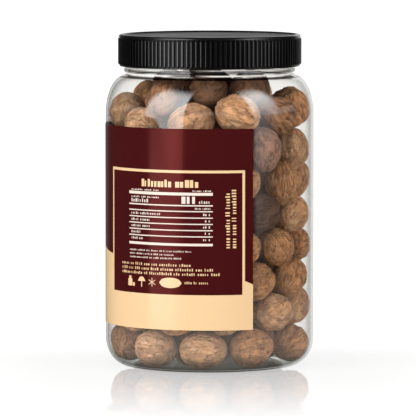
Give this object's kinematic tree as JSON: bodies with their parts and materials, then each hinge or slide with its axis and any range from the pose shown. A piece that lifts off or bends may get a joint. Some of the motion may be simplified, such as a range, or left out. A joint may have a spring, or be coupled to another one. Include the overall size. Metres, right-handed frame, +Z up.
{
  "type": "jar of whole nutmeg",
  "caption": "Clear wide-mouth jar of whole nutmeg with a black ribbed screw lid and a dark red wrap-round label that leaves a window on one side.",
  "frame": {"origin": "middle of the jar's base, on the surface that it stands on", "axes": "+Z up along the jar's axis, -Y towards the front of the label, +X to the right seen from the front"},
  "size_m": [0.1186, 0.1194, 0.188],
  "materials": {
    "jar": "clear, glossy, blown PET",
    "lid": "black moulded plastic, satin to glossy, fine upright ribs",
    "label": "glossy printed film, dark red and cream",
    "nutmegs": "dry, matte, wrinkled brown seed"
  },
  "bodies": {
    "root": {"jar": "jar", "lid": "lid", "label": "label", "nutmegs": "nutmegs"}
  },
  "joints": []
}
